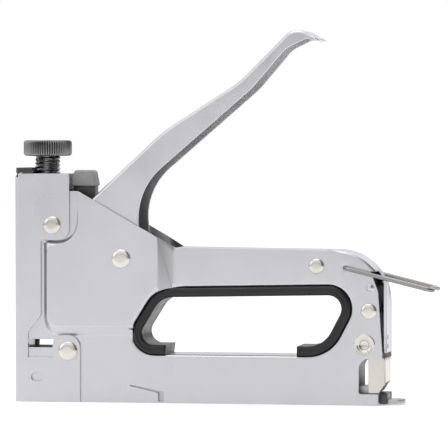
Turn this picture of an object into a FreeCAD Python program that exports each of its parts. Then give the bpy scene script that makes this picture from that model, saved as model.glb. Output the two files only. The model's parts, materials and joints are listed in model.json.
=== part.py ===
import FreeCAD, Part
import os
from math import tan
from types import SimpleNamespace

import Sketcher
from FreeCAD import Rotation, Vector

# Lever staple gun: two pressed steel half shells, a folded nose cover, a U-channel handle that lifts a
# spring-loaded striker, a pull-out staple rail at the back and a wire bail that holds the handle shut.
# Outlines are written in millimetres from the bottom front corner of the nose: X runs back along the
# sole, Z up.  Every finished piece is then moved so that the middle of the flat sole is the origin.

SIZES = {
    # half shells
    "body_length": 149.4,
    "body_width": 20.0,
    "sheet": 1.2,
    "roof_height": 61.9,
    "roof_fall": 1.0,
    "roof_beam": 16.0,
    "rear_round": 20.4,
    "shoulder_rise": 22.3,
    "shoulder_reach": 26.3,
    "slope_foot": 65.1,
    "sole_centre": 75.0,
    # raised mechanism chamber
    "chamber_rise": 2.5,
    "chamber_front": 13.5,
    "chamber_back": 58.3,
    "chamber_floor": 30.4,
    "front_bevel": 1.6,
    "floor_bevel": 3.8,
    "back_bevel": 6.6,
    # finger opening and its liner
    "grip_sill": 19.4,
    "grip_toe": 41.3,
    "grip_brow": 57.6,
    "grip_heel_inset": 22.5,
    "grip_crown_inset": 7.9,
    "liner_wall": 3.7,
    "liner_proud": 1.0,
    # nose
    "nose_depth": 22.3,
    "nose_above": 7.0,
    "nose_sheet": 1.0,
    "nose_foot_depth": 26.7,
    "top_plate": 2.4,
    "axis_reach": 11.1,
    # power adjuster
    "knob_radius": 9.7,
    "knob_height": 6.4,
    "knob_gap": 4.6,
    "shank_radius": 5.2,
    "nut_height": 6.5,
    "cap_radius": 7.2,
    "cap_depth": 9.5,
    # striker
    "blade_width": 11.2,
    "blade_thickness": 1.0,
    "guide_thickness": 2.2,
    "head_depth": 12.0,
    "head_width": 15.0,
    "head_height": 12.0,
    "main_coil_radius": 5.9,
    "main_wire": 1.8,
    # handle and lifter
    "pivot_reach": 43.7,
    "pivot_drop": 4.5,
    "pin_radius": 2.5,
    "handle_gap": 0.3,
    "handle_eye": 8.2,
    "lifter_width": 6.0,
    "lifter_tip": 2.4,
    "buffer_width": 10.0,
    # magazine
    "channel_height": 14.0,
    "channel_sheet": 1.0,
    "rail_width": 9.2,
    "rail_top": 7.4,
    "rail_sheet": 0.8,
    "rod_radius": 0.9,
    "strip_length": 52.6,
    "staple_wire": 0.7,
    "pusher_length": 14.0,
    "block_length": 3.2,
    "block_height": 4.5,
    "tab_length": 6.5,
    "tab_thickness": 1.6,
    # rear latch and bail
    "eyelet_radius": 3.0,
    "eyelet_inset": 8.5,
    "eyelet_height": 23.8,
    "latch_sheet": 1.2,
    "bail_inset": 16.1,
    "bail_drop": 7.7,
    "bail_reach": 36.3,
    "bail_wire": 1.6,
    # clearances
    "running_gap": 0.05,
    "seat_gap": 0.3,
}


class Size:
    """A number together with the spreadsheet expression that gives it."""

    def __init__(self, value, text):
        self.value = value
        self.text = text

    def joined(self, other, sign, value):
        return Size(value, f"({self.text} {sign} {text_of(other)})")

    def __add__(self, other):
        return self.joined(other, "+", self.value + number_of(other))

    def __sub__(self, other):
        return self.joined(other, "-", self.value - number_of(other))

    def __mul__(self, other):
        return self.joined(other, "*", self.value * number_of(other))

    def __truediv__(self, other):
        return self.joined(other, "/", self.value / number_of(other))

    def __neg__(self):
        return Size(-self.value, f"(-1 * {self.text})")

    def __radd__(self, other):
        return self + other

    def __rsub__(self, other):
        return -self + other

    def __rmul__(self, other):
        return self * other


def number_of(size):
    """The plain number behind a size."""
    return size.value if isinstance(size, Size) else float(size)


def text_of(size):
    """The expression behind a size."""
    return size.text if isinstance(size, Size) else repr(float(size))


doc = FreeCAD.newDocument("StapleGun")
table = doc.addObject("Spreadsheet::Sheet", "Sizes")
for row, (alias, value) in enumerate(SIZES.items(), start=1):
    table.set(f"A{row}", alias)
    table.set(f"B{row}", str(value))
    table.setAlias(f"B{row}", alias)
doc.recompute()
s = SimpleNamespace(**{alias: Size(value, f"Sizes.{alias}") for alias, value in SIZES.items()})

# Sizes that several pieces share.
half = s.body_width / 2
inner_half = half - s.sheet
raised_half = half + s.chamber_rise
cover_half = half + s.nose_sheet
shoulder_height = s.roof_height + s.shoulder_rise
nose_height = shoulder_height + s.nose_above
pivot_height = s.roof_height - s.pivot_drop
handle_half = raised_half - s.sheet - s.handle_gap
blade_front = s.nose_sheet + s.guide_thickness + s.seat_gap
head_front = blade_front + s.blade_thickness
knob_floor = nose_height + s.top_plate + s.knob_gap
cap_top = nose_height - s.cap_depth
rear = s.body_length
rail_end = rear - s.block_length + 0.1
eyelet_reach = rear - s.eyelet_inset
bail_foot = rear - s.bail_inset
bail_height = s.roof_height - s.bail_drop

# Sketches lie across an axis; turned pieces and coils stand along one, "near" being -Y.
ACROSS = {"X": Rotation(Vector(1, 1, 1), 120), "Y": Rotation(Vector(1, 0, 0), 90), "Z": Rotation()}
ALONG = {"X": Rotation(Vector(0, 1, 0), 90), "Y": Rotation(Vector(1, 0, 0), -90), "Z": Rotation(),
         "near": Rotation(Vector(1, 0, 0), 90)}
DIRECTION = {"X": Vector(1, 0, 0), "Y": Vector(0, 1, 0), "Z": Vector(0, 0, 1)}
nodes = []


def bind(thing, prop, size):
    """Ties one property to the spreadsheet, or sets it where the size is a plain number."""
    if isinstance(size, Size):
        thing.setExpression(prop, size.text)
    elif prop.startswith("Placement.Base."):
        place = thing.Placement
        setattr(place.Base, prop[-1], size)
        thing.Placement = place
    else:
        setattr(thing, prop, size)


def put(thing, x=0, y=0, z=0, turn=None):
    """Places an object at a point, turned first where a rotation is given."""
    thing.Placement = FreeCAD.Placement(Vector(*map(number_of, (x, y, z))), turn or Rotation())
    for letter, size in zip("xyz", (x, y, z)):
        if isinstance(size, Size):
            bind(thing, "Placement.Base." + letter, size)
    return thing


def pin_point(sketch, index, position, u, v):
    """Holds one sketch point at (u, v) from the sketch origin."""
    for kind, axis, size in (("DistanceX", -2, u), ("DistanceY", -1, v)):
        value = number_of(size)
        if abs(value) < 1e-9:
            sketch.addConstraint(Sketcher.Constraint("PointOnObject", index, position, axis))
            continue
        ends = (-1, 1, index, position) if value > 0 else (index, position, -1, 1)
        row = sketch.addConstraint(Sketcher.Constraint(kind, *ends, abs(value)))
        if isinstance(size, Size):
            sketch.setExpression(f"Constraints[{row}]", (size if value > 0 else -size).text)


def draw_run(sketch, corners, closed=True):
    """Draws straight runs from corner to corner; a corner (u, v, radius) is rounded, (u, v) sharp."""
    points = [Vector(number_of(c[0]), number_of(c[1]), 0) for c in corners]
    count = len(points)
    runs = count if closed else count - 1
    starts, ends, arcs = [], [], []
    for i, point in enumerate(points):
        radius = number_of(corners[i][2]) if len(corners[i]) > 2 else 0
        before = (points[i - 1] - point).normalize()
        after = (points[(i + 1) % count] - point).normalize()
        reach = radius / tan(before.getAngle(after) / 2) if radius else 0
        ends.append(point + before * reach)
        starts.append(point + after * reach)
        arcs.append(None)
        if radius:
            inward = (before + after).normalize()
            depth = (radius ** 2 + reach ** 2) ** 0.5 - radius
            arcs[i] = Part.Arc(ends[i], point + inward * depth, starts[i])
    first = sketch.GeometryCount
    for i in range(runs):
        sketch.addGeometry(Part.LineSegment(starts[i], ends[(i + 1) % count]), False)
    if not closed:
        pin_point(sketch, first, 1, corners[0][0], corners[0][1])
        pin_point(sketch, first + runs - 1, 2, corners[-1][0], corners[-1][1])
    for i, arc in enumerate(arcs):
        into, out = first + (i - 1) % runs, first + i
        if not closed and i in (0, count - 1):
            continue
        if arc is None:
            sketch.addConstraint(Sketcher.Constraint("Coincident", into, 2, out, 1))
            pin_point(sketch, out, 1, corners[i][0], corners[i][1])
            continue
        bend = sketch.addGeometry(arc, False)
        corner = sketch.addGeometry(Part.Point(points[i]), True)
        entry = 1 if sketch.getPoint(bend, 1).isEqual(ends[i], 1e-6) else 2
        sketch.addConstraint(Sketcher.Constraint("Tangent", into, 2, bend, entry))
        sketch.addConstraint(Sketcher.Constraint("Tangent", out, 1, bend, 3 - entry))
        sketch.addConstraint(Sketcher.Constraint("PointOnObject", corner, 1, into))
        sketch.addConstraint(Sketcher.Constraint("PointOnObject", corner, 1, out))
        hold_radius(sketch, bend, corners[i][2])
        pin_point(sketch, corner, 1, corners[i][0], corners[i][1])


def hold_radius(sketch, index, radius):
    """Gives an arc or circle its radius."""
    row = sketch.addConstraint(Sketcher.Constraint("Radius", index, number_of(radius)))
    if isinstance(radius, Size):
        sketch.setExpression(f"Constraints[{row}]", radius.text)


def outline(name, corners, along="Y", start=0, circles=(), closed=True):
    """A sketch across one axis, at a distance start along it; circles are (u, v, radius)."""
    sketch = doc.addObject("Sketcher::SketchObject", name)
    draw_run(sketch, corners, closed)
    for u, v, radius in circles:
        ring = Part.Circle(Vector(number_of(u), number_of(v), 0), Vector(0, 0, 1), number_of(radius))
        index = sketch.addGeometry(ring, False)
        hold_radius(sketch, index, radius)
        pin_point(sketch, index, 3, u, v)
    offset = {axis.lower(): start if axis == along else 0 for axis in "XYZ"}
    return put(sketch, turn=ACROSS[along], **offset)


def extrude(name, sketch, length, along="Y"):
    """A solid from a closed sketch, pushed along one axis."""
    solid = doc.addObject("Part::Extrusion", name)
    solid.Base = sketch
    solid.DirMode = "Custom"
    solid.Dir = DIRECTION[along]
    solid.Solid = True
    solid.FaceMakerClass = "Part::FaceMakerBullseye"
    bind(solid, "LengthFwd", length)
    return solid


def slab(name, corners, start, length, along="Y", circles=()):
    """A plate or bar: an outline across one axis, pushed along it."""
    return extrude(name, outline(name + "_outline", corners, along, start, circles), length, along)


def plate(name, corners, half_width, circles=()):
    """A slab that is as wide on both sides of the middle plane."""
    return slab(name, corners, -half_width, half_width * 2, "Y", circles)


def offset(name, sketch, distance):
    """The same closed sketch, grown or shrunk."""
    grown = doc.addObject("Part::Offset2D", name)
    grown.Source = sketch
    grown.Join = 0
    bind(grown, "Value", distance)
    return grown


def box(name, low, high):
    """A block between two corners."""
    solid = doc.addObject("Part::Box", name)
    for prop, a, b in zip(("Length", "Width", "Height"), low, high):
        bind(solid, prop, b - a)
    return put(solid, *low)


def cylinder(name, radius, start, length, centre, along="Y"):
    """A round bar along one axis; centre gives the other two coordinates in X, Y, Z order."""
    solid = doc.addObject("Part::Cylinder", name)
    bind(solid, "Radius", radius)
    bind(solid, "Height", length)
    if along == "Z":
        return put(solid, centre[0], centre[1], start)
    if along == "X":
        return put(solid, start, centre[0], centre[1], ALONG["X"])
    return put(solid, centre[0], start, centre[1], ALONG["Y"])


def cut(name, base, *tools):
    """One solid less others."""
    for number, tool in enumerate(tools):
        result = doc.addObject("Part::Cut", f"{name}_{number}")
        result.Base = base
        result.Tool = tool
        base = result
    return base


def fuse(name, *parts):
    """Several touching solids as one."""
    result = doc.addObject("Part::MultiFuse", name)
    result.Shapes = list(parts)
    result.Refine = True
    return result


def group(name, *parts):
    """Separate solids that share one node."""
    result = doc.addObject("Part::Compound", name)
    result.Links = list(parts)
    return result


def mirrored(name, source):
    """The same piece on the other side of the middle plane."""
    result = doc.addObject("Part::Mirroring", name)
    result.Source = source
    result.Normal = Vector(0, 1, 0)
    return result


def both_sides(name, source):
    """A piece and its mirror image."""
    return group(name, source, mirrored(name + "_far", source))


def loft(name, *sketches):
    """A solid with straight sides between outlines that have the same corners."""
    solid = doc.addObject("Part::Loft", name)
    solid.Sections = list(sketches)
    solid.Solid = True
    solid.Ruled = True
    return solid


def turned(name, profile, x, y, z, along="Z"):
    """A turned piece: profile corners are (radius, height), turned about its own Z axis."""
    solid = doc.addObject("Part::Revolution", name)
    solid.Source = outline(name + "_profile", profile)
    solid.Axis = Vector(0, 0, 1)
    solid.Angle = 360
    solid.Solid = True
    return put(solid, x, y, z, ALONG[along])


def coil(name, radius, wire, length, turns, x, y, z, along="Z"):
    """An open coil spring along one axis."""
    helix = doc.addObject("Part::Helix", name + "_path")
    bind(helix, "Radius", radius)
    bind(helix, "Height", length)
    bind(helix, "Pitch", length / turns)
    section = doc.addObject("Part::Circle", name + "_wire")
    bind(section, "Radius", wire / 2)
    put(section, radius, 0, 0, Rotation(Vector(1, 0, 0), 90))
    spring = doc.addObject("Part::Sweep", name)
    spring.Sections = [section]
    spring.Spine = (helix, [])
    spring.Solid = True
    spring.Frenet = True
    return put(spring, x, y, z, ALONG[along])


def node(name, thing):
    """Names a finished piece and moves it so that the middle of the sole is the origin."""
    holder = group(name, thing)
    holder.Label = name
    nodes.append(put(holder, x=-s.sole_centre))


# ---------------------------------------------------------------- half shells

slope = shoulder_height - s.roof_height
roof_rear = s.roof_height - s.roof_fall


def slope_at(x):
    """Height of the slanted edge at a distance back from the nose."""
    return shoulder_height - (x - s.shoulder_reach) * slope / (s.slope_foot - s.shoulder_reach)


shell_edge = s.nose_sheet + s.seat_gap
OVER = 5

grip_lift = s.roof_height - s.roof_beam - s.grip_sill
grip_corners = (
    (s.grip_toe, s.grip_sill, grip_lift * 0.32),
    (s.grip_brow, s.grip_sill + grip_lift - 0.2, grip_lift * 0.45),
    (rear - s.grip_crown_inset, s.grip_sill + grip_lift + 1.4, grip_lift * 0.34),
    (rear - s.grip_heel_inset, s.grip_sill, grip_lift * 0.54),
)
grip_outline = outline("grip_outline", grip_corners, start=-raised_half - OVER)
grip_hole = extrude("grip_hole", grip_outline, (raised_half + OVER) * 2)
grip_flange = extrude("grip_flange", offset("grip_flange_outline", grip_outline, s.sheet),
                      (raised_half + OVER) * 2)

skin = slab("shell_skin", (
    (shell_edge, 0),
    (rear, 0),
    (rear, roof_rear, s.rear_round),
    (s.slope_foot, s.roof_height),
    (s.shoulder_reach, shoulder_height),
    (shell_edge, shoulder_height),
), -half, half)
hollow = slab("shell_hollow", (
    (shell_edge - OVER, -OVER),
    (rear - s.sheet, -OVER),
    (rear - s.sheet, roof_rear - s.sheet, s.rear_round - s.sheet),
    (s.slope_foot, s.roof_height - s.sheet, 3),
    (s.slope_foot, shoulder_height + OVER),
    (shell_edge - OVER, shoulder_height + OVER),
), -inner_half, inner_half + OVER)


def chamber_outline(name, lean, y, over):
    """The raised chamber at one depth: lean 0 is its flat face, 1 the foot of its bevels."""
    floor = s.chamber_floor - s.floor_bevel * lean
    front = s.chamber_front - s.front_bevel * lean
    back = s.chamber_back + s.back_bevel * lean
    step = 1.4 * lean
    return outline(name, (
        (s.shoulder_reach, shoulder_height + over),
        (s.shoulder_reach - 0.3 - step, shoulder_height - 21.2 + step, 9 - step),
        (front, shoulder_height - 21.2 + step, 1.5),
        (front, floor, 4 + 2 * lean),
        (back, floor, 1),
        (back, slope_at(back) + over),
    ), start=y)


def chamber(name, inward, over):
    """The pressed-out chamber, moved inward by a sheet for the hollow behind it."""
    foot = chamber_outline(name + "_foot", 1, -half + inward, over)
    face = chamber_outline(name + "_face", 0, -raised_half + inward, over)
    return loft(name, foot, face)


window = box("window", (5.5, -half - OVER, 21.7), (15.5, -inner_half + 1, 25.0))
tongue_slit = slab("tongue_slit", (
    (47.0, 6.6), (58.3, 4.0), (58.3, 0.6), (60.4, 0.6), (60.4, 4.4, 0.5), (47.0, 7.1),
), -half - OVER, s.sheet + OVER + 1)
latch_notch = slab("latch_notch", (
    (rear - 10.7, 4.4, 1.2),
    (rear + OVER, 4.4),
    (rear + OVER, 18.4),
    (rear - 10.7, 18.4, 4),
), -half - OVER, s.sheet + OVER + 1)
strap_foot = 20.6
strap_top = s.roof_height - 11.9
rail_way = box("rail_way", (rear - s.sheet - 2, -inner_half, -OVER), (rear + OVER, OVER, strap_foot))
trim_top = s.roof_height - 9.1
tail_trim = slab("tail_trim", (
    (rear - 3.6, -OVER), (rear - 1.4, 21, 20), (rear - 3.0, trim_top - 7.8, 6), (rear - 6.0, trim_top),
    (rear + OVER, trim_top), (rear + OVER, -OVER),
), -half - OVER, half + OVER * 2)

tail_height = s.eyelet_height + (s.roof_height - s.eyelet_height) * 0.35
dimple_height = tail_height + (s.roof_height - tail_height) * 0.37

# Rivet places and sizes: reach, height, hole radius, head radius.
nose_rivets = {
    "upper": (15.3, shoulder_height - 13.6, 1.8, 3.6),
    "lower": (21.7, 20.4, 1.8, 3.9),
}
body_rivets = {
    "roof": (rear - 27.5, s.roof_height - 7.1, 1.6, 3.1),
    "tail": (rear - 6.7, tail_height, 1.6, 3.2),
}
holes = [cylinder(f"hole_{name}", r, -half - OVER, s.sheet + OVER + 1, (x, z))
         for name, (x, z, r, head) in {**nose_rivets, **body_rivets}.items()]
holes.append(cylinder("hole_eyelet", s.eyelet_radius, -half - OVER, s.sheet + OVER + 1,
                      (eyelet_reach, s.eyelet_height)))
holes.append(cylinder("hole_bail", s.bail_wire / 2 + s.running_gap, -half - OVER, s.sheet + OVER + 1,
                      (bail_foot, bail_height)))
holes.append(cylinder("hole_pivot", s.pin_radius, -raised_half - OVER, OVER * 2,
                      (s.pivot_reach, pivot_height)))

pressing = fuse("pressing", skin, chamber("chamber", 0, 0))
opened = cut("pressing_opened", pressing, grip_hole)
cavity = cut("cavity", fuse("cavity_full", hollow, chamber("chamber_hollow", s.sheet, OVER)), grip_flange)
blank = cut("shell_blank", opened, cavity, window, tongue_slit, latch_notch, rail_way, *holes)
dimple = turned("dimple", ((0, 0), (1.6, 0), (0.8, 0.8), (0, 0.8)), rear - 6.3, -half, dimple_height, "near")
strap = cut("strap", slab("strap_full", (
    (rear - s.sheet, strap_foot), (rear, strap_foot), (rear, strap_top), (rear - s.sheet, strap_top),
), 0, 6), box("strap_slot_high", (rear - OVER, 1.5, 26.0), (rear + OVER, 4.5, 27.6)),
    box("strap_slot_low", (rear - OVER, 1.5, 22.4), (rear + OVER, 4.5, 24.0)))
node("left_shell", fuse("left_pressing", cut("near_blank", blank, tail_trim), dimple))
node("right_shell", fuse("right_pressing", mirrored("far_blank", fuse("far_near", blank, dimple)),
                         mirrored("far_strap", strap)))

# ---------------------------------------------------------------- finger opening

lining = extrude("lining", outline("lining_outline", grip_corners, start=-half - s.liner_proud),
                 (half + s.liner_proud) * 2)
lining_hole = extrude("lining_hole", offset("lining_hole_outline", grip_outline, -s.liner_wall),
                      (raised_half + OVER) * 2)
lining_gap = slab("lining_gap", (
    (s.grip_toe + 19, s.grip_sill - OVER),
    (rear - 35.4, s.grip_sill - OVER),
    (rear - 35.4, s.grip_sill + s.liner_wall + OVER),
    (s.grip_toe + 21, s.grip_sill + s.liner_wall + OVER),
), -half - OVER, (half + OVER) * 2)
node("grip_liner", cut("lining_open", lining, lining_hole, lining_gap))

# ---------------------------------------------------------------- nose

cover = plate("cover_blank", (
    (0, 0),
    (0, nose_height, 1.5),
    (s.nose_depth, nose_height, 0.8),
    (s.nose_depth, shoulder_height - 19.4, 4.5),
    (s.chamber_front - 2.8, shoulder_height - 19.4, 1),
    (s.chamber_front - 2.8, 34.5, 4),
    (5.4, 28.0, 3),
    (5.4, 17.8),
    (15.4, 17.8),
    (15.4, 26.8, 5),
    (s.nose_foot_depth, 26.8, 5),
    (s.nose_foot_depth, 0),
), cover_half)
cover_room = box("cover_room", (s.nose_sheet, -half, -OVER),
                 (s.nose_foot_depth + OVER, half, nose_height + OVER))
sight_hole = plate("sight_hole", (
    (6.7, 8.3, 1.6), (11.5, 8.3, 1.6), (11.5, 11.7, 1.6), (6.7, 11.7, 1.6),
), half + OVER)
cover_holes = []
for side, sign in (("near", -1), ("far", 1)):
    for name, (x, z, r, head) in nose_rivets.items():
        start = -cover_half - OVER if sign < 0 else half - 1
        cover_holes.append(cylinder(f"cover_hole_{name}_{side}", r, start, OVER + 2, (x, z)))
node("nose_cover", cut("cover", cover, cover_room, sight_hole, *cover_holes))

lid_end = s.axis_reach - s.shank_radius + 2.0
lid = slab("lid_blank", (
    (0.4, -cover_half, 1.2), (lid_end, -cover_half, 1.2), (lid_end, cover_half, 1.2), (0.4, cover_half, 1.2),
), nose_height, s.top_plate, "Z")
shank_room = cylinder("shank_room", s.shank_radius + s.seat_gap, nose_height - OVER, s.top_plate + OVER * 2,
                      (s.axis_reach, 0), "Z")
node("nose_top_plate", cut("lid", lid, shank_room))

node("adjuster_nut", slab("nut", (
    (3.2, -half, 1), (19.0, -half, 1), (19.0, half, 1), (3.2, half, 1),
), nose_height - s.nut_height, s.nut_height, "Z", [(s.axis_reach, 0, s.shank_radius + s.running_gap)]))

node("blade_guide", box("guide", (s.nose_sheet, -inner_half, 0.4),
                        (s.nose_sheet + s.guide_thickness, inner_half, pivot_height)))


def stub(name, x, z, radius, head, face, depth):
    """A short rivet through the two sheets on the near side, with its domed head outside."""
    return turned(name, (
        (0, 0), (head, 0), (head, 1.1, 0.95), (0, 1.1),
    ), x, -face, z, "near"), cylinder(name + "_shank", radius, -face, depth, (x, z))


short_rivets = []
for name, (x, z, r, head) in nose_rivets.items():
    dome, shank = stub(f"nose_{name}", x, z, r, head, cover_half, s.nose_sheet + s.sheet)
    near = fuse(f"nose_rivet_{name}", dome, shank)
    short_rivets += [near, mirrored(f"nose_rivet_{name}_far", near)]
node("nose_rivets", group("nose_rivet_set", *short_rivets))


def through_rivet(name, x, z, radius, head, face):
    """A rivet right through both shells, with a dome on each side."""
    dome, shank = stub(name, x, z, radius, head, face, face * 2)
    return fuse(name + "_whole", dome, shank, mirrored(name + "_dome_far", dome))


node("body_rivets", group("body_rivet_set", *[
    through_rivet(f"body_{name}", x, z, r, head, half) for name, (x, z, r, head) in body_rivets.items()]))
node("spacer_sleeves", group("sleeve_set", *[
    cut(f"sleeve_{name}", cylinder(f"sleeve_{name}_bar", r + 1.0, -inner_half, inner_half * 2, (x, z)),
        cylinder(f"sleeve_{name}_bore", r, -inner_half, inner_half * 2, (x, z)))
    for name, (x, z, r, head) in body_rivets.items()]))
node("handle_pivot_pin", through_rivet("pivot", s.pivot_reach, pivot_height, s.pin_radius, 3.8, raised_half))

flare = turned("flare", ((0, 0), (4.4, 0), (4.4, 0.6, 0.5), (0, 0.6)), eyelet_reach, -half,
               s.eyelet_height, "near")
tube = cylinder("eyelet_tube", s.eyelet_radius, -half, half * 2, (eyelet_reach, s.eyelet_height))
eyelet = fuse("eyelet_solid", flare, tube, mirrored("flare_far", flare))
node("latch_eyelet", cut("eyelet", eyelet, cylinder("eyelet_bore", s.eyelet_radius - 1.0, -half - OVER,
                                                    (half + OVER) * 2, (eyelet_reach, s.eyelet_height))))

# ---------------------------------------------------------------- handle and lifter


def about_pivot(*corners):
    """Corners given from the handle pivot."""
    return [(s.pivot_reach + c[0], pivot_height + c[1], *c[2:]) for c in corners]


WEB = ((16.3, 50.5, 60), (47.3, 70.2, 40), (69.5, 92.4, 7))
TIP = (78.3, 87.3)
eye = s.handle_eye
handle_blank = plate("handle_blank", about_pivot(
    (-eye, -eye, eye - 0.05),
    (-11.9, 24.2),
    *WEB,
    (*TIP, 0.5),
    (77.5, 86.2),
    (74.1, 87.2, 1),
    (65.8, 83.3, 10),
    (52.3, 67.5, 30),
    (5.9, 27.5, 26),
    (eye, -eye, eye - 0.05),
), handle_half)
channel_outline = outline("handle_channel_outline", about_pivot(
    (-20.9, 16.2), *WEB, TIP, (115, 55), (40, -40), (-40, -40),
), start=-handle_half + s.sheet)
channel_room = extrude("handle_channel", offset("handle_channel_room", channel_outline, -s.sheet),
                       (handle_half - s.sheet) * 2)
pin_bore = cylinder("pin_bore", s.pin_radius + s.running_gap, -raised_half, raised_half * 2,
                    (s.pivot_reach, pivot_height))
node("handle_lever", cut("handle", handle_blank, channel_room, pin_bore))

node("lifter_lever", cut("lifter", plate("lifter_blank", about_pivot(
    (7, -7, 6.9),
    (7, 7, 6.9),
    (-6, 7.5, 3),
    (-12.4, 14, 3),
    (-12.4, 28.6),
    (-21.2, 28.6),
    (-21.2, 20, 3),
    (-16.2, 10, 3),
    (-16.2, -5.7, 4),
    (-32.93, -14.37, s.lifter_tip - 0.05),
    (-30.73, -18.63, s.lifter_tip - 0.05),
    (-4, -7, 6),
), s.lifter_width / 2), pin_bore))
node("lever_buffer", plate("buffer", about_pivot(
    (-22.3, 28.6, 1), (-20.6, 35.2, 1.2), (-13.2, 35.2, 1.5), (-11.9, 28.6, 1),
), s.buffer_width / 2))

bush_length = handle_half - s.sheet - s.lifter_width / 2
bush = cut("bush", cylinder("bush_bar", s.pin_radius + 1.4, -handle_half + s.sheet, bush_length,
                            (s.pivot_reach, pivot_height)), pin_bore)
node("pivot_bushes", both_sides("bush_pair", bush))
node("return_spring", coil("handle_coil", s.pin_radius + 2.4, 1.2, bush_length - 2.0, 3.5, s.pivot_reach,
                           -handle_half + s.sheet + 1.0, pivot_height, "Y"))

# ---------------------------------------------------------------- striker and power adjuster

tip_height = pivot_height - 15.4
slot_half = s.lifter_tip + 1.9
head_floor = tip_height - s.head_height / 2
head_top = tip_height + s.head_height / 2
head_blank = box("head_blank", (head_front, -s.head_width / 2, head_floor),
                 (head_front + s.head_depth, s.head_width / 2, head_top))
head_slot = box("head_slot", (head_front + 2.4, -s.lifter_width / 2 - 0.4, tip_height - slot_half),
                (head_front + s.head_depth + OVER, s.lifter_width / 2 + 0.4, tip_height + slot_half))
spigot = s.main_coil_radius - s.main_wire / 2 - s.seat_gap
head_spigot = cylinder("head_spigot", spigot, head_top, 2.5, (s.axis_reach, 0), "Z")
node("striker_head", fuse("striker_head_solid", cut("head", head_blank, head_slot), head_spigot))
node("striker_blade", box("blade", (blade_front, -s.blade_width / 2, 0.6),
                          (head_front, s.blade_width / 2, head_top - 2)))
bumper_top = head_floor - s.seat_gap
bumper_floor = bumper_top - 3
bumper_front = head_front + 0.6
node("striker_bumper", box("bumper", (bumper_front, -s.head_width / 2, bumper_floor),
                           (head_front + s.head_depth, s.head_width / 2, bumper_top)))
node("bumper_block", box("block", (bumper_front, -inner_half, bumper_floor - 6.7),
                         (head_front + s.head_depth + 1, inner_half, bumper_floor)))

cap_floor = cap_top - 2.5
node("spring_cap", turned("cap", (
    (0, -2.5), (spigot, -2.5), (spigot, 0), (s.cap_radius, 0, 0.4), (s.cap_radius, 2.5, 0.6), (0, 2.5),
), s.axis_reach, 0, cap_floor))
node("power_knob", turned("knob", (
    (0, cap_top + s.seat_gap - knob_floor),
    (s.shank_radius, cap_top + s.seat_gap - knob_floor, 0.6),
    (s.shank_radius, 0),
    (s.knob_radius, 0, 1.2),
    (s.knob_radius, s.knob_height, 1.6),
    (0, s.knob_height),
), s.axis_reach, 0, knob_floor))
node("main_spring", coil("main_coil", s.main_coil_radius, s.main_wire, cap_floor - head_top - s.main_wire,
                         5, s.axis_reach, 0, head_top + s.main_wire / 2))

# ---------------------------------------------------------------- magazine


def channel_section(width, low, high, sheet):
    """U section, open upwards: corners in Y and Z."""
    return (
        (-width, low), (width, low), (width, high), (width - sheet, high),
        (width - sheet, low + sheet), (-width + sheet, low + sheet), (-width + sheet, high), (-width, high),
    )


def saddle_section(width, low, high, sheet):
    """U section, open downwards."""
    return (
        (-width, low), (-width, high), (width, high), (width, low), (width - sheet, low),
        (width - sheet, high - sheet), (-width + sheet, high - sheet), (-width + sheet, low),
    )


rail_half = s.rail_width / 2
channel_front = head_front + 0.4
wall_end = rear - 13.5
channel = slab("channel_blank", channel_section(inner_half, 0, s.channel_height, s.channel_sheet),
               channel_front, rear - 4.4 - channel_front, "X")
channel_tail = box("channel_tail", (wall_end, -half, s.channel_sheet), (rear, half, s.channel_height + OVER))
node("magazine_channel", cut("channel", channel, channel_tail))

block_half = 5.5
rail_low = s.channel_sheet + s.seat_gap
rail_front = channel_front + s.seat_gap
rail = slab("rail_blank", saddle_section(rail_half, rail_low, s.rail_top, s.rail_sheet),
            rail_front, rail_end - rail_front, "X")
rail_slot = box("rail_slot", (20, -1.1, s.rail_top - s.rail_sheet - 1), (rear - 11.4, 1.1, s.rail_top + 1))
node("pusher_rail", cut("rail", rail, rail_slot))
node("rail_end_block", box("end_block", (rail_end, -block_half, s.seat_gap),
                           (rail_end + s.block_length, block_half, s.block_height)))
tab_start = rail_end + s.block_length
node("pull_tab", slab("tab", (
    (tab_start, -4), (tab_start + s.tab_length, -4, 3), (tab_start + s.tab_length, 4, 3), (tab_start, 4),
), 0.5, s.tab_thickness, "Z", [(tab_start + s.tab_length - 3, 0, 1.2)]))

rod_height = 4.3
rod_front = rail_front + 4
node("guide_rod", cylinder("rod", s.rod_radius, rod_front, rail_end - rod_front, (0, rod_height), "X"))
strip_end = rail_front + s.strip_length
strip_top = s.rail_top + s.seat_gap + s.staple_wire
strip_half = rail_half + s.seat_gap + s.staple_wire
strip_section = saddle_section(strip_half, rail_low + s.seat_gap, strip_top, s.staple_wire)
node("staple_strip", slab("strip", strip_section, rail_front, s.strip_length, "X"))
shoe = rail_half + s.seat_gap
core = rail_half - s.rail_sheet - 0.4
core_top = s.rail_top - s.rail_sheet - 0.5
shoe_low = rail_low + 0.4
pusher_start = strip_end + s.seat_gap
node("staple_pusher", slab("pusher", (
    (-shoe - 0.8, shoe_low), (-shoe - 0.8, strip_top), (shoe + 0.8, strip_top), (shoe + 0.8, shoe_low),
    (shoe, shoe_low), (shoe, s.rail_top + s.seat_gap), (0.8, s.rail_top + s.seat_gap), (0.8, core_top),
    (core, core_top), (core, rail_low + 0.6), (-core, rail_low + 0.6), (-core, core_top),
    (-0.8, core_top), (-0.8, s.rail_top + s.seat_gap), (-shoe, s.rail_top + s.seat_gap), (-shoe, shoe_low),
), pusher_start, s.pusher_length, "X", [(0, rod_height, s.rod_radius + s.running_gap)]))
spring_start = pusher_start + s.pusher_length + s.seat_gap + 0.3
node("pusher_spring", coil("pusher_coil", 1.65, 0.5, rail_end - spring_start - 0.5, 22, spring_start, 0,
                           rod_height, "X"))

# ---------------------------------------------------------------- rear latch and bail

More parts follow.
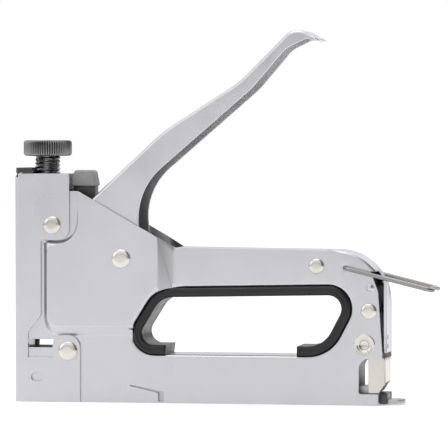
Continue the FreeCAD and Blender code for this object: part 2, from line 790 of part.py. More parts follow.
latch_half = inner_half - 0.4
latch_blank = plate("latch_blank", (
    (rear - 13.1, s.eyelet_height + 4.6, 4.5),
    (rear - 3.9, s.eyelet_height + 4.6, 4.5),
    (rear - 3.9, 20, 1),
    (rear - 0.2, 18.2, 0.6),
    (rear - 0.2, 9.0, 0.6),
    (rear - 3.0, 4.7, 1),
    (rear - 7.1, 4.7, 0.8),
    (rear - 7.1, 18.0, 1),
    (rear - 13.1, 20.5, 2),
), latch_half)
latch_room = box("latch_room", (rear - 20, -latch_half + s.latch_sheet, 0),
                 (rear - 0.2 - s.latch_sheet, latch_half - s.latch_sheet, 40))
latch_way = box("latch_way", (rear - 4, -latch_half + s.latch_sheet, 0),
                (rear + OVER, latch_half - s.latch_sheet, strip_top + s.seat_gap * 2))
latch_bore = cylinder("latch_bore", s.eyelet_radius + s.running_gap, -half, half * 2,
                      (eyelet_reach, s.eyelet_height))
node("magazine_latch", cut("latch", latch_blank, latch_room, latch_way, latch_bore))
latch_coil_start = -latch_half + s.latch_sheet + 0.4
node("latch_spring", coil("latch_coil", s.eyelet_radius + 0.7, 0.7, 5.6, 5, eyelet_reach, latch_coil_start,
                          s.eyelet_height, "Y"))

BAIL_SLOPE = 14
bail_side = half + s.bail_wire / 2 + 1.2
bail_end = inner_half - 1
bail_path = outline("bail_path", (
    (0, -bail_end),
    (0, -bail_side, 2.2),
    (s.bail_reach, -bail_side, 2.4),
    (s.bail_reach - 2.5, 0, 12),
    (s.bail_reach, bail_side, 2.4),
    (0, bail_side, 2.2),
    (0, bail_end),
), "Z", closed=False)
bail_section = doc.addObject("Part::Circle", "bail_section")
bind(bail_section, "Radius", s.bail_wire / 2)
put(bail_section, 0, -bail_end, 0, ALONG["near"])
bail = doc.addObject("Part::Sweep", "bail")
bail.Sections = [bail_section]
bail.Spine = (bail_path, [])
bail.Solid = True
put(bail, bail_foot, 0, bail_height, Rotation(Vector(0, 1, 0), BAIL_SLOPE))
node("lock_bail", bail)

# ---------------------------------------------------------------- check and export

doc.recompute()
for thing in doc.Objects:
    if "Invalid" in thing.State or "Error" in thing.State:
        raise ValueError(f"{thing.Name} did not build: {thing.State}")
for piece in nodes:
    if piece.Shape.isNull() or not piece.Shape.isValid() or not piece.Shape.Solids:
        raise ValueError(f"{piece.Label} has no valid shape")
os.makedirs("parts", exist_ok=True)
for piece in nodes:
    piece.Shape.exportStep(f"parts/{piece.Label}.step")
    size = piece.Shape.BoundBox
    print(f"{piece.Label:18s} {len(piece.Shape.Solids)} x {size.XMin:7.1f} {size.XMax:6.1f}"
          f"  y {size.YMin:6.1f} {size.YMax:5.1f}  z {size.ZMin:6.1f} {size.ZMax:6.1f}")
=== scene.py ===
"""Looks of a lever staple gun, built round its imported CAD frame: satin chrome shells with rounded folds,
a ribbed rubber liner, a knurled and threaded power knob, domed rivets and a strip of single staples."""

import json
from math import atan, cos, degrees, floor, pi, radians, sin

import bmesh
import bpy
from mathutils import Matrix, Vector
from mathutils.geometry import area_tri, delaunay_2d_cdt


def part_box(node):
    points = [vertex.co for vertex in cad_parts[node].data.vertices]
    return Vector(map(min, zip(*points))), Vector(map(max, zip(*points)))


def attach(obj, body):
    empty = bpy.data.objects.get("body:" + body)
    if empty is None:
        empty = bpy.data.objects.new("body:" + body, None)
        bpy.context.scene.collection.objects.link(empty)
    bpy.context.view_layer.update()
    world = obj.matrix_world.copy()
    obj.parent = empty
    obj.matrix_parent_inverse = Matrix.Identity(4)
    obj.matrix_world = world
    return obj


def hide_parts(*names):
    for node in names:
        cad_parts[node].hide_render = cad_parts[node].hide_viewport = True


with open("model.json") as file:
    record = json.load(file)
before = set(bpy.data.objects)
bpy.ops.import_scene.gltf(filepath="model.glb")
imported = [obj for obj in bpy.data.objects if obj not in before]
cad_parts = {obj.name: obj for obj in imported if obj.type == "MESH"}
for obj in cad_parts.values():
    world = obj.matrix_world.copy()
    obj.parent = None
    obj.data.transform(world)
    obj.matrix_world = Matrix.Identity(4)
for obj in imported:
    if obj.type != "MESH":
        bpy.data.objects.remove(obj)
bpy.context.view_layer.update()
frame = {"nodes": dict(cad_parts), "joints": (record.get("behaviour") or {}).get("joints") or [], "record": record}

MM = 0.001
RECORD = frame["record"]
BODY_OF = {node: body for body, nodes in RECORD["behaviour"]["bodies"].items() for node in nodes}
SLOT_OF = {part["node"]: part["material_slot"] for part in RECORD["subparts"]}


# ---------------------------------------------------------------- materials


class Finish:
    """One node material under construction; every pattern is laid out in object space, in millimetres."""

    def __init__(self, name):
        self.material = bpy.data.materials.new(name)
        self.material.use_nodes = True
        self.tree = self.material.node_tree
        self.shader = self.tree.nodes["Principled BSDF"]
        self.place = self.add("ShaderNodeTexCoord").outputs["Object"]

    def add(self, kind, **settings):
        node = self.tree.nodes.new(kind)
        for key, value in settings.items():
            setattr(node, key, value)
        return node

    def link(self, source, target):
        self.tree.links.new(source, target)

    def noise(self, per_mm, detail=3.0, stretch=(1, 1, 1)):
        """A noise pattern with so many features per millimetre along each axis."""
        mapping = self.add("ShaderNodeMapping")
        mapping.inputs["Scale"].default_value = [s * per_mm / MM for s in stretch]
        self.link(self.place, mapping.inputs["Vector"])
        texture = self.add("ShaderNodeTexNoise")
        texture.inputs["Scale"].default_value = 1
        texture.inputs["Detail"].default_value = detail
        self.link(mapping.outputs["Vector"], texture.inputs["Vector"])
        return texture.outputs["Fac"]

    def spread(self, source, low, high, start=0.3, end=0.7):
        """Maps a pattern to numbers between low and high."""
        ranged = self.add("ShaderNodeMapRange")
        for socket, value in (("From Min", start), ("From Max", end), ("To Min", low), ("To Max", high)):
            ranged.inputs[socket].default_value = value
        self.link(source, ranged.inputs["Value"])
        return ranged.outputs["Result"]

    def tint(self, source, dark, light, start=0.3, end=0.7):
        """Maps a pattern to colours between dark and light."""
        ramp = self.add("ShaderNodeValToRGB")
        ramp.color_ramp.elements[0].position = start
        ramp.color_ramp.elements[1].position = end
        ramp.color_ramp.elements[0].color = (*dark, 1)
        ramp.color_ramp.elements[1].color = (*light, 1)
        self.link(source, ramp.inputs["Fac"])
        self.link(ramp.outputs["Color"], self.shader.inputs["Base Color"])

    def relief(self, source, height, strength=1.0, under=None):
        """A bump of the given height in millimetres."""
        bump = self.add("ShaderNodeBump")
        bump.inputs["Distance"].default_value = height * MM
        bump.inputs["Strength"].default_value = strength
        self.link(source, bump.inputs["Height"])
        if under:
            self.link(under, bump.inputs["Normal"])
        self.link(bump.outputs["Normal"], self.shader.inputs["Normal"])
        return bump.outputs["Normal"]

    def rough(self, source, low, high):
        self.link(self.spread(source, low, high), self.shader.inputs["Roughness"])


def shades(colour, spread):
    """A darker and a lighter neighbour of a colour."""
    return tuple(c * (1 - spread) for c in colour), tuple(min(1, c * (1 + spread)) for c in colour)


def metal(name, colour, roughness, grain=(1, 1, 1), spread=0.05, brush=0.004, speckle=0.0):
    """Plated or plain metal: fine brush marks along the grain, cloudy polish and slight stains."""
    finish = Finish(name)
    finish.shader.inputs["Metallic"].default_value = 1
    clouds = finish.noise(0.05, 4)
    marks = finish.noise(2.2, 3, grain)
    finish.tint(clouds, *shades(colour, spread))
    finish.rough(clouds, roughness * 0.85, roughness * 1.2)
    brushed = finish.relief(marks, brush, 0.6)
    if speckle:
        finish.relief(finish.noise(1.6, 2), speckle, 0.5, brushed)
    return finish.material


def rubber(name, colour, roughness):
    """Moulded rubber: fine matt grain over a faintly uneven sheen."""
    finish = Finish(name)
    finish.tint(finish.noise(0.12, 4), *shades(colour, 0.35))
    finish.rough(finish.noise(0.35, 3), roughness * 0.85, roughness * 1.2)
    finish.relief(finish.noise(2.6, 3), 0.02, 0.5)
    finish.shader.inputs["Specular IOR Level"].default_value = 0.45
    return finish.material


def plastic(name, colour, roughness):
    """Moulded grey plastic with a slight mottle."""
    finish = Finish(name)
    finish.tint(finish.noise(0.5, 5), *shades(colour, 0.08))
    finish.rough(finish.noise(0.6, 3), roughness * 0.9, roughness * 1.15)
    finish.relief(finish.noise(1.6, 4), 0.03, 0.5)
    return finish.material


UPRIGHT = (1.0, 1.0, 0.06)
LENGTHWISE = (0.06, 1.0, 1.0)
FINISHES = {
    "shell_steel": metal("satin_chrome", (0.60, 0.60, 0.615), 0.30, UPRIGHT, 0.03, 0.0022),
    "rivet_nickel": metal("rivet_nickel", (0.66, 0.64, 0.59), 0.20, spread=0.08, brush=0.003, speckle=0.01),
    "dark_steel": metal("dark_steel", (0.09, 0.09, 0.085), 0.34, spread=0.18, speckle=0.012),
    "spring_steel": metal("spring_steel", (0.30, 0.295, 0.285), 0.22, spread=0.1),
    "plain_steel": metal("plain_steel", (0.50, 0.50, 0.50), 0.32, LENGTHWISE, 0.08, 0.005),
    "latch_steel": metal("latch_steel", (0.66, 0.63, 0.57), 0.28, UPRIGHT, 0.06),
    "black_rubber": rubber("black_rubber", (0.006, 0.006, 0.007), 0.38),
    "grey_plastic": plastic("grey_plastic", (0.33, 0.33, 0.33), 0.5),
}
LEVER_CHROME = metal("lever_chrome", (0.60, 0.60, 0.615), 0.30, (0.25, 1.0, 0.25), 0.04, 0.0)


# ---------------------------------------------------------------- meshes


def add_piece(name, mesh, node, material=None):
    """A shown piece that stands for one CAD node and moves with that node's body."""
    piece = bpy.data.objects.new(name, mesh)
    bpy.context.scene.collection.objects.link(piece)
    mesh.materials.clear()
    mesh.materials.append(material or FINISHES[SLOT_OF[node]])
    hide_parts(node)
    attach(piece, BODY_OF[node])
    return piece


def welded(node):
    """The CAD node's surface with its corners welded."""
    work = bmesh.new()
    work.from_mesh(frame["nodes"][node].data)
    bmesh.ops.remove_doubles(work, verts=work.verts, dist=0.002 * MM)
    work.normal_update()
    return work


def extent(face, direction):
    """How far a face reaches along a direction."""
    along = [corner.vert.co.dot(direction) for corner in face.loops]
    return max(along) - min(along)


def panels(work, direction, least_area=60):
    """The flat regions that face a direction, each a set of faces, from least_area mm2 up."""
    left = {face for face in work.faces if face.normal.dot(direction) > 0.9999}
    found = []
    while left:
        region, todo = set(), [left.pop()]
        while todo:
            face = todo.pop()
            region.add(face)
            for edge in face.edges:
                for other in edge.link_faces:
                    if other in left:
                        left.discard(other)
                        todo.append(other)
        if sum(face.calc_area() for face in region) > least_area * MM * MM:
            found.append(region)
    return found


def into(face, edge):
    """The direction from an edge into one of its faces, square to the edge."""
    start, end = (vert.co for vert in edge.verts)
    along = (end - start).normalized()
    middle = (start + end) / 2
    inward = face.calc_center_median() - middle
    return (inward - along * inward.dot(along)).normalized()


def split_long(work, region, longest):
    """Puts extra corners on the long edges round a region."""
    border = [e for f in region for e in f.edges if sum(n in region for n in e.link_faces) == 1]
    for edge in border:
        parts = int(edge.calc_length() / longest) + 1
        start = edge.verts[0]
        for left in range(parts, 1, -1):
            edge, vert = bmesh.utils.edge_split(edge, start, 1 / left)
            edge = next(e for e in vert.link_edges if e.other_vert(vert) is not start and e is not edge
                        and abs((e.other_vert(vert).co - vert.co).normalized().dot(
                            (vert.co - start.co).normalized())) > 0.9999)
            start = vert


def meet(one, width_one, other, width_other):
    """The shift that clears two edges by their widths, from their inward directions."""
    cosine = one.dot(other)
    if cosine > 0.9995:
        return (one + other).normalized() * (width_one + width_other) / 2
    if cosine < -0.98:
        return one * width_one
    square = 1 - cosine * cosine
    shift = (one * (width_one - cosine * width_other) + other * (width_other - cosine * width_one)) / square
    limit = 2.5 * max(width_one, width_other)
    return shift if shift.length < limit else shift.normalized() * limit


def enclosed(point, corners, links):
    """Whether a point is inside closed outlines, counting how many edges lie to one side of it."""
    hits = 0
    for first, second in links:
        one, other = corners[first], corners[second]
        if (one.y > point.y) != (other.y > point.y):
            hits += one.x + (point.y - one.y) / (other.y - one.y) * (other.x - one.x) > point.x
    return hits % 2 == 1


LEAST_TRIANGLE = 1e-4


def soften(work, region, width_of, steps=4, lip=()):
    """Rounds the whole rim of a flat region.  width_of(angle, depth, convex) gives each edge its width;
    lip adds (extra inset, depth) steps inside the rounding.  The flat inside is filled anew."""
    split_long(work, region, 2.2 * MM)
    work.normal_update()
    normal = next(iter(region)).normal.copy()
    edges, after = {}, {}
    for face in region:
        for corner in face.loops:
            edge = corner.edge
            outside = [n for n in edge.link_faces if n not in region]
            if not outside:
                continue
            wall = outside[0]
            width = width_of(degrees(edge.calc_face_angle(0)), extent(wall, normal) / MM, edge.is_convex) * MM
            first = corner.vert
            second = corner.link_loop_next.vert
            after[first] = (second, edge)
            edges[edge] = {"width": width, "inward": into(face, edge), "down": into(wall, edge),
                           "wall": wall.normal.copy()}
    before = {second: (first, edge) for first, (second, edge) in after.items()}
    for vert, (_, edge) in after.items():
        previous, entry = before[vert]
        turn = edges[entry]["inward"].angle(edges[edge]["inward"])
        bends_in = edges[entry]["inward"].dot(after[vert][0].co - vert.co) > 0
        span = min(edge.calc_length(), entry.calc_length())
        if bends_in and 0.01 < turn < radians(35):
            for e in (edge, entry):
                edges[e]["width"] = min(edges[e]["width"], 0.85 * span / turn)
    rings = {}
    for vert, (_, edge) in after.items():
        one, other = edges[before[vert][1]], edges[edge]
        shift = meet(one["inward"], one["width"], other["inward"], other["width"])
        fall = (one["width"] + other["width"]) / 2
        down = (one["down"] + other["down"]).normalized()
        ridge = one["wall"].cross(other["wall"])
        if ridge.length > 0.2:
            ridge.normalize()
            down = ridge if ridge.dot(down) > 0 else -ridge
        corner = vert.co.copy()
        reach = shift.length or 1e-9
        ring = [corner + shift * (1 + extra * MM / max(fall, 1e-6)) - normal * depth * MM
                for extra, depth in reversed(lip)]
        for k in range(steps):
            turn = radians(90) * k / steps
            ring.append(corner + shift * (1 - sin(turn)) + down * fall * (1 - cos(turn)))
        rings[vert] = [work.verts.new(place) for place in ring] + [vert]
        vert.co = corner + down * fall
    bmesh.ops.delete(work, geom=list(region), context="FACES")
    for vert, (follower, _) in after.items():
        for inner, outer in zip(zip(rings[vert], rings[follower]), zip(rings[vert][1:], rings[follower][1:])):
            work.faces.new((inner[1], inner[0], outer[0], outer[1]))
    across = normal.orthogonal().normalized()
    up = normal.cross(across)
    starts = list(after)
    index = {vert: k for k, vert in enumerate(starts)}
    flat = [Vector((rings[v][0].co.dot(across), rings[v][0].co.dot(up))) / MM for v in starts]
    links = [(index[v], index[after[v][0]]) for v in starts]
    places, _, faces, origins, _, _ = delaunay_2d_cdt(flat, links, [], 0, 1e-5)
    level = rings[starts[0]][0].co.dot(normal)
    corners = [rings[starts[origin[0]]][0] if origin else
               work.verts.new((across * place.x + up * place.y) * MM + normal * level)
               for place, origin in zip(places, origins)]
    for face in faces:
        points = [places[k] for k in face]
        middle = sum(points, Vector((0, 0))) / 3
        if area_tri(*points) > LEAST_TRIANGLE and enclosed(middle, flat, links):
            work.faces.new([corners[k] for k in face])
    work.normal_update()


def rounded_piece(work, name, node, material=None, sharp=38):
    """A finished bmesh as a shown piece, smooth across its roundings."""
    bmesh.ops.remove_doubles(work, verts=work.verts, dist=0.001 * MM)
    mesh = bpy.data.meshes.new(name)
    work.to_mesh(mesh)
    work.free()
    mesh.shade_smooth()
    mesh.set_sharp_from_angle(angle=radians(sharp))
    piece = add_piece(name, mesh, node, material)
    weighted = piece.modifiers.new("shading", "WEIGHTED_NORMAL")
    weighted.keep_sharp = True
    weighted.weight = 90
    return piece


def broken_edges(node, name, width, segments=3):
    """A small block with its outer edges broken."""
    work = welded(node)
    bmesh.ops.dissolve_limit(work, angle_limit=radians(0.6), verts=work.verts, edges=work.edges,
                             delimit={"NORMAL"})
    work.normal_update()
    chosen = [e for e in work.edges if len(e.link_faces) == 2 and e.is_convex
              and e.calc_face_angle(0) > radians(40)]
    bmesh.ops.bevel(work, geom=chosen, offset=width * MM, offset_type="OFFSET", segments=segments,
                    profile=0.5, affect="EDGES", clamp_overlap=True)
    return rounded_piece(work, name, node)


def lathe(profile, centre, axis, steps=48):
    """A turned surface: profile runs as (radius, height) pairs in metres along the axis from centre."""
    turn = Vector((0, 0, 1)).rotation_difference(axis).to_matrix()
    work = bmesh.new()
    rings = []
    for radius, height in profile:
        if radius < 1e-7:
            rings.append([work.verts.new(centre + turn @ Vector((0, 0, height)))])
            continue
        rings.append([work.verts.new(centre + turn @ Vector((radius * cos(2 * pi * k / steps),
                                                             radius * sin(2 * pi * k / steps), height)))
                      for k in range(steps)])
    for low, high in zip(rings, rings[1:]):
        bridge(work, low, high)
    return work


def bridge(work, low, high):
    """Faces between two rings, or between a ring and a single point."""
    count = max(len(low), len(high))
    for k in range(count):
        after = (k + 1) % count
        corners = [low[k % len(low)], low[after % len(low)], high[after % len(high)], high[k % len(high)]]
        unique = list(dict.fromkeys(corners))
        if len(unique) > 2:
            work.faces.new(unique)


def arc(centre, radius, start, end, steps):
    """Points (x, y) along an arc, angles in degrees."""
    return [(centre[0] + radius * cos(radians(start + (end - start) * k / steps)),
             centre[1] + radius * sin(radians(start + (end - start) * k / steps))) for k in range(steps + 1)]


def as_mesh(name, *works, smooth_angle=35):
    """One mesh from several loose parts, smooth apart from its sharp corners."""
    whole = bmesh.new()
    for work in works:
        bmesh.ops.recalc_face_normals(work, faces=work.faces)
        part = bpy.data.meshes.new("part")
        work.to_mesh(part)
        work.free()
        whole.from_mesh(part)
        bpy.data.meshes.remove(part)
    mesh = bpy.data.meshes.new(name)
    whole.to_mesh(mesh)
    whole.free()
    mesh.shade_smooth()
    mesh.set_sharp_from_angle(angle=radians(smooth_angle))
    return mesh


def loose_parts(node):
    """The box (lowest, highest corner) of each separate solid in a CAD node."""
    work = bmesh.new()
    work.from_mesh(frame["nodes"][node].data)
    bmesh.ops.remove_doubles(work, verts=work.verts, dist=0.002 * MM)
    left = set(work.verts)
    boxes = []
    while left:
        group, todo = set(), [left.pop()]
        while todo:
            vert = todo.pop()
            group.add(vert)
            for edge in vert.link_edges:
                other = edge.other_vert(vert)
                if other in left:
                    left.discard(other)
                    todo.append(other)
        points = [v.co for v in group]
        boxes.append((Vector([min(p[i] for p in points) for i in range(3)]),
                      Vector([max(p[i] for p in points) for i in range(3)])))
    work.free()
    return sorted(boxes, key=lambda b: tuple(b[0]))


# ---------------------------------------------------------------- pressed and folded steel

NEAR = Vector((0, -1, 0))
FAR = Vector((0, 1, 0))
SHEET_DEPTH = 1.7


def fold_width(fold, step, cut):
    """A rule for soften: the rounding in mm of a fold, of a pressed step and of a cut sheet edge."""

    def width_of(angle, depth, convex):
        if depth < SHEET_DEPTH:
            return cut
        if angle > 62:
            return fold if convex else 0.02
        return step

    return width_of


def make_shells():
    """The two half shells, with rounded folds along the roof, the opening and the raised chamber."""
    for side, outward in (("left", NEAR), ("right", FAR)):
        work = welded(f"{side}_shell")
        for region in panels(work, outward):
            soften(work, region, fold_width(1.3, 0.8, 0.16))
        rounded_piece(work, f"{side}_half_shell", f"{side}_shell")


def make_nose_cover():
    """The folded cover round the nose, and the plate on top of it."""
    work = welded("nose_cover")
    for outward in (NEAR, FAR):
        for region in panels(work, outward):
            soften(work, region, fold_width(1.4, 0.8, 0.16))
    rounded_piece(work, "folded_nose_cover", "nose_cover")
    broken_edges("nose_top_plate", "nose_cap_plate", 0.4)


def make_handle():
    """The U-channel lever and its buffer."""
    work = welded("handle_lever")
    for outward in (NEAR, FAR):
        for region in panels(work, outward):
            soften(work, region, fold_width(1.4, 0.8, 0.2))
    rounded_piece(work, "squeeze_handle", "handle_lever", LEVER_CHROME)
    broken_edges("lever_buffer", "grey_buffer", 0.8, 4)


def make_small_blocks():
    """Machined and cut pieces with their edges broken."""
    clip = welded("magazine_latch")
    for outward in (NEAR, FAR):
        for region in panels(clip, outward):
            soften(clip, region, fold_width(0.7, 0.7, 0.16))
    rounded_piece(clip, "latch_clip", "magazine_latch")
    for node, name, width in (("rail_end_block", "rail_block", 0.4),
                              ("pull_tab", "rail_pull_tab", 0.3), ("pusher_rail", "staple_rail", 0.15),
                              ("magazine_channel", "staple_channel", 0.15), ("adjuster_nut", "nose_nut", 0.3),
                              ("striker_head", "lift_block", 0.3), ("striker_blade", "driver_blade", 0.15),
                              ("staple_pusher", "strip_pusher", 0.15), ("bumper_block", "stop_block", 0.3),
                              ("striker_bumper", "stop_pad", 0.5), ("blade_guide", "driver_guide", 0.25),
                              ("lifter_lever", "lifter", 0.3)):
        broken_edges(node, name, width)


# ---------------------------------------------------------------- finger opening


def make_liner():
    """The black liner: rounded lips with a shallow groove along the middle of each."""
    work = welded("grip_liner")
    for outward in (NEAR, FAR):
        for region in panels(work, outward):
            soften(work, region, lambda angle, depth, convex: 1.15, 5, ((0.15, 0), (0.3, 0.25)))
    rounded_piece(work, "opening_liner", "grip_liner")


# ---------------------------------------------------------------- rivets and eyelet


def dome_profile(radius, height, flat=0.42):
    """A low rivet head from its foot to its top: a short wall, a round shoulder and a slightly flat crown."""
    shoulder = radius * (1 - flat)
    steps = 9
    points = [(radius, 0), (radius, height * 0.16)]
    for k in range(1, steps + 1):
        turn = radians(90) * k / steps
        points.append((radius * flat + shoulder * cos(turn), height * 0.16 + height * 0.84 * sin(turn)))
    points.append((0, height))
    return points


def rivet_ends(node, heights):
    """Domes on the outer ends of each rivet of a node, with its shank between."""
    works = []
    for low, high in loose_parts(node):
        centre = (low + high) / 2
        for side in (-1, 1):
            outer = low.y if side < 0 else high.y
            if abs(outer) < 9.5 * MM:
                continue
            radius = (high.x - low.x) / 2
            foot = outer - side * heights * MM
            works.append(lathe([(radius * 0.9, -0.02 * MM)] + dome_profile(radius, heights * MM),
                               Vector((centre.x, foot, centre.z)), Vector((0, side, 0))))
        shank = 0.42 * (high.x - low.x) / 2
        reach = (low.y + 0.3 * MM, high.y - 0.3 * MM)
        works.append(lathe([(0, reach[0]), (shank, reach[0]), (shank, reach[1]), (0, reach[1])],
                           Vector((centre.x, 0, centre.z)), Vector((0, 1, 0)), 32))
    return works


def make_rivets():
    """Domed heads of the nose rivets, the body rivets and the handle pivot."""
    for node, name in (("nose_rivets", "nose_rivet_heads"), ("body_rivets", "body_rivet_heads"),
                       ("handle_pivot_pin", "pivot_rivet")):
        add_piece(name, as_mesh(name, *rivet_ends(node, 1.1), smooth_angle=50), node)


def make_eyelet():
    """The flared tube that the rear latch turns on, with a rolled rim and a dished mouth."""
    low, high = map(Vector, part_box("latch_eyelet"))
    centre = (low + high) / 2
    rim = (high.x - low.x) / 2
    works = []
    for side in (-1, 1):
        face = abs(high.y) - 0.6 * MM
        profile = [(rim, 0), (rim, 0.2 * MM)]
        profile += arc((rim - 0.45 * MM, 0.2 * MM), 0.4 * MM, 0, 90, 5)
        profile += arc((rim - 1.1 * MM, -0.75 * MM), 1.3 * MM, 75, 150, 5)
        profile += arc((rim - 2.0 * MM, -0.35 * MM), 0.62 * MM, 60, 180, 6)
        profile += [(rim - 2.62 * MM, -2.0 * MM), (0, -2.6 * MM)]
        works.append(lathe(profile, Vector((centre.x, side * face, centre.z)), Vector((0, side, 0))))
    wall = 3.0 * MM
    works.append(lathe([(wall, low.y + 0.5 * MM), (wall, high.y - 0.5 * MM)],
                       Vector((centre.x, 0, centre.z)), Vector((0, 1, 0))))
    add_piece("flared_eyelet", as_mesh("flared_eyelet", *works, smooth_angle=60), "latch_eyelet")


# ---------------------------------------------------------------- power knob


def make_knob():
    """The knob: a straight-knurled head with rounded rims and a dished top, on a threaded shank."""
    low, high = map(Vector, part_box("power_knob"))
    axis_x = (low.x + high.x) / 2
    head = (high.x - low.x) / 2
    joint = {j["name"]: j for j in frame["joints"]}["knob_turn"]
    head_floor = joint["pos_m"][2]
    pitch = 1.5 * MM
    shank = 5.2 * MM
    teeth = 60
    steps = teeth * 6
    rim = 1.25 * MM
    groove = 0.55 * MM

    profile = [(shank, head_floor), (head - rim, head_floor)]
    profile += arc((head - rim, head_floor + rim), rim, -80, 0, 4)
    profile += arc((head - rim, high.z - rim), rim, 0, 90, 5)
    profile += [(head * 0.62, high.z), (head * 0.55, high.z - 0.5 * MM), (head * 0.1, high.z - 0.5 * MM)]
    work = bmesh.new()
    rings = []
    for radius, z in profile:
        ring = []
        wall = max(0, min(1, (radius - (head - rim * 0.55)) / (rim * 0.45)))
        for k in range(steps):
            turn = 2 * pi * k / steps
            phase = (k % 6) / 6
            tooth = abs(2 * phase - 1)
            out = radius - groove * wall * tooth ** 1.5
            ring.append(work.verts.new((axis_x + out * cos(turn), out * sin(turn), z)))
        rings.append(ring)
    for one, other in zip(rings, rings[1:]):
        bridge(work, one, other)
    bridge(work, rings[-1], [work.verts.new((axis_x, 0, high.z - 0.5 * MM))])

    screw = bmesh.new()
    rings = []
    levels = int((head_floor - low.z) / pitch * 8)
    for level in range(levels + 1):
        z = low.z + (head_floor - low.z) * level / levels
        taper = min(1, (z - low.z) / (1.0 * MM))
        ring = []
        for k in range(64):
            turn = k / 64
            phase = z / pitch - turn
            ridge = abs(2 * (phase - floor(phase)) - 1)
            out = shank - 0.62 * MM * (1 - ridge) - 0.5 * MM * (1 - taper)
            ring.append(screw.verts.new((axis_x + out * cos(2 * pi * turn), out * sin(2 * pi * turn), z)))
        rings.append(ring)
    for one, other in zip(rings, rings[1:]):
        bridge(screw, one, other)
    bridge(screw, [screw.verts.new((axis_x, 0, low.z))], rings[0])
    add_piece("knurled_knob", as_mesh("knurled_knob", work, screw, smooth_angle=48), "power_knob",
              metal("knob_steel", (0.26, 0.26, 0.26), 0.26, spread=0.15, speckle=0.01))


# ---------------------------------------------------------------- staples


def make_staples():
    """The strip of staples, each a flat-wire staple over the rail, lightly glued to the next."""
    low, high = map(Vector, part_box("staple_strip"))
    wire = 0.7 * MM
    count = int((high.x - low.x) / wire)
    pitch = (high.x - low.x) / count
    half_width = (high.y - low.y) / 2
    bend = 0.6 * MM
    outer = [(-half_width, low.z)] + [
        (-half_width + bend - bend * cos(radians(a)), high.z - bend + bend * sin(radians(a))) for a in (0, 45, 90)]
    outer += [(-y, z) for y, z in reversed(outer)]
    inner = [(-half_width + wire, low.z), (-half_width + wire, high.z - wire)]
    inner += [(-y, z) for y, z in reversed(inner)]
    section = outer + inner[::-1]
    work = bmesh.new()
    for n in range(count):
        start = low.x + n * pitch
        trim = 0.06 * MM
        rings = []
        for x, shrink in ((start + 0.02 * MM, trim), (start + trim, 0),
                          (start + pitch - trim, 0), (start + pitch - 0.02 * MM, trim)):
            rings.append([work.verts.new((x, y * (1 - shrink / half_width), z - shrink)) for y, z in section])
        for one, other in zip(rings, rings[1:]):
            bridge(work, one, other)
        work.faces.new(rings[0][::-1])
        work.faces.new(rings[-1])
    add_piece("staples", as_mesh("staples", work, smooth_angle=30), "staple_strip")


# ---------------------------------------------------------------- stage, light and camera

VIEW_AZIMUTH = 10.0
EYE_HEIGHT = 0.103
VIEW_DISTANCE = 1.4
VIEW_TARGET = Vector((0.0081, 0, 0.0711))
FRAME_WIDTH = 0.1788


def make_camera():
    """A long lens, nearly level, a little to the right of square on."""
    rise = atan((EYE_HEIGHT - VIEW_TARGET.z) / VIEW_DISTANCE)
    turn = radians(VIEW_AZIMUTH)
    back = Vector((sin(turn) * cos(rise), -cos(turn) * cos(rise), sin(rise)))
    data = bpy.data.cameras.new("camera")
    data.sensor_width = 36
    data.lens = data.sensor_width * VIEW_DISTANCE / FRAME_WIDTH
    data.clip_start = 0.05
    data.clip_end = 20
    camera = bpy.data.objects.new("camera", data)
    camera.location = VIEW_TARGET + back * VIEW_DISTANCE
    camera.rotation_mode = "QUATERNION"
    camera.rotation_quaternion = (-back).to_track_quat("-Z", "Y")
    bpy.context.scene.collection.objects.link(camera)
    bpy.context.scene.camera = camera


def softbox(name, place, target, size, power, colour=(1, 1, 1)):
    """A square area light that faces a point."""
    data = bpy.data.lights.new(name, "AREA")
    data.size = size
    data.energy = power
    data.color = colour
    lamp = bpy.data.objects.new(name, data)
    lamp.location = place
    lamp.rotation_mode = "QUATERNION"
    lamp.rotation_quaternion = (Vector(target) - Vector(place)).to_track_quat("-Z", "Y")
    bpy.context.scene.collection.objects.link(lamp)


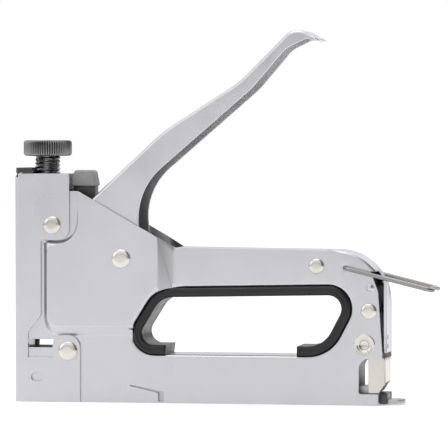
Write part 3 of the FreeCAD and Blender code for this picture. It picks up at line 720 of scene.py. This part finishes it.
def make_world():
    """White behind the object; for the light itself, bright above, grey in front and darker to the right."""
    world = bpy.data.worlds.new("studio")
    bpy.context.scene.world = world
    world.use_nodes = True
    tree = world.node_tree
    tree.nodes.clear()

    def add(kind, **settings):
        node = tree.nodes.new(kind)
        for key, value in settings.items():
            setattr(node, key, value)
        return node

    def math(operation, one, other=0.0):
        node = add("ShaderNodeMath", operation=operation)
        for socket, value in zip(node.inputs, (one, other)):
            if isinstance(value, (int, float)):
                socket.default_value = value
            else:
                tree.links.new(value, socket)
        return node.outputs[0]

    direction = add("ShaderNodeSeparateXYZ")
    tree.links.new(add("ShaderNodeTexCoord").outputs["Generated"], direction.inputs[0])
    x, y, z = direction.outputs

    def ramp(source, *stops):
        node = add("ShaderNodeValToRGB")
        node.color_ramp.interpolation = "EASE"
        elements = node.color_ramp.elements
        while len(elements) < len(stops):
            elements.new(0.5)
        for element, (position, level) in zip(elements, stops):
            element.position = position
            element.color = (level, level, level * 1.01, 1)
        tree.links.new(math("MULTIPLY_ADD", source, 0.5), node.inputs[0])
        source_node = node.inputs[0].links[0].from_node
        source_node.inputs[2].default_value = 0.5
        return node.outputs["Color"]

    side = ramp(x, (0.0, 0.78), (0.42, 0.84), (0.62, 0.70), (0.80, 0.12), (1.0, 0.20))
    height = ramp(z, (0.0, 0.85), (0.42, 0.80), (0.52, 0.76), (0.68, 1.30), (1.0, 1.40))
    level = add("ShaderNodeMix", data_type="RGBA", blend_type="MULTIPLY")
    level.inputs["Factor"].default_value = 1
    tree.links.new(side, level.inputs["A"])
    tree.links.new(height, level.inputs["B"])
    lit = add("ShaderNodeBackground")
    tree.links.new(level.outputs["Result"], lit.inputs["Color"])
    white = add("ShaderNodeBackground")
    white.inputs["Color"].default_value = (1, 1, 1, 1)
    seen = add("ShaderNodeLightPath").outputs["Is Camera Ray"]
    choice = add("ShaderNodeMixShader")
    tree.links.new(seen, choice.inputs[0])
    tree.links.new(lit.outputs[0], choice.inputs[1])
    tree.links.new(white.outputs[0], choice.inputs[2])
    tree.links.new(choice.outputs[0], add("ShaderNodeOutputWorld").inputs["Surface"])


def make_floor():
    """A wide pale table that reads white and keeps the object's shadow."""
    mesh = bpy.data.meshes.new("table")
    work = bmesh.new()
    bmesh.ops.create_grid(work, x_segments=8, y_segments=8, size=4)
    work.to_mesh(mesh)
    work.free()
    table = bpy.data.objects.new("table", mesh)
    table.location.z = -0.1 * MM
    bpy.context.scene.collection.objects.link(table)
    material = bpy.data.materials.new("pale_table")
    material.use_nodes = True
    tree = material.node_tree
    shader = tree.nodes["Principled BSDF"]
    shader.inputs["Base Color"].default_value = (0.86, 0.86, 0.86, 1)
    shader.inputs["Roughness"].default_value = 0.8
    shader.inputs["Specular IOR Level"].default_value = 0.1
    rays = tree.nodes.new("ShaderNodeLightPath")
    seen = tree.nodes.new("ShaderNodeMath")
    seen.operation = "MAXIMUM"
    tree.links.new(rays.outputs["Is Camera Ray"], seen.inputs[0])
    tree.links.new(rays.outputs["Is Glossy Ray"], seen.inputs[1])
    lift = tree.nodes.new("ShaderNodeMath")
    lift.operation = "MULTIPLY"
    lift.inputs[1].default_value = 0.36
    tree.links.new(seen.outputs[0], lift.inputs[0])
    tree.links.new(lift.outputs[0], shader.inputs["Emission Strength"])
    shader.inputs["Emission Color"].default_value = (1, 1, 1, 1)
    mesh.materials.append(material)


def make_lights():
    """Soft boxes above, in front on the left, and a weak one behind."""
    softbox("top_box", (-0.1, -0.15, 0.9), (0, 0, 0.05), 0.7, 1.7)
    softbox("left_box", (-0.9, -0.7, 0.5), (0, 0, 0.07), 0.6, 0.8)
    softbox("rear_box", (0.4, 0.9, 0.6), (0, 0, 0.07), 0.7, 0.9)


# ---------------------------------------------------------------- the scene

make_camera()
make_world()
make_floor()
make_lights()
for node, shown in frame["nodes"].items():
    shown.data.materials.clear()
    shown.data.materials.append(FINISHES[SLOT_OF[node]])
    shown.data.shade_smooth()
    shown.data.set_sharp_from_angle(angle=radians(35))
make_shells()
make_nose_cover()
make_handle()
make_small_blocks()
make_liner()
make_rivets()
make_eyelet()
make_knob()
make_staples()

bpy.context.scene.view_settings.view_transform = "Standard"
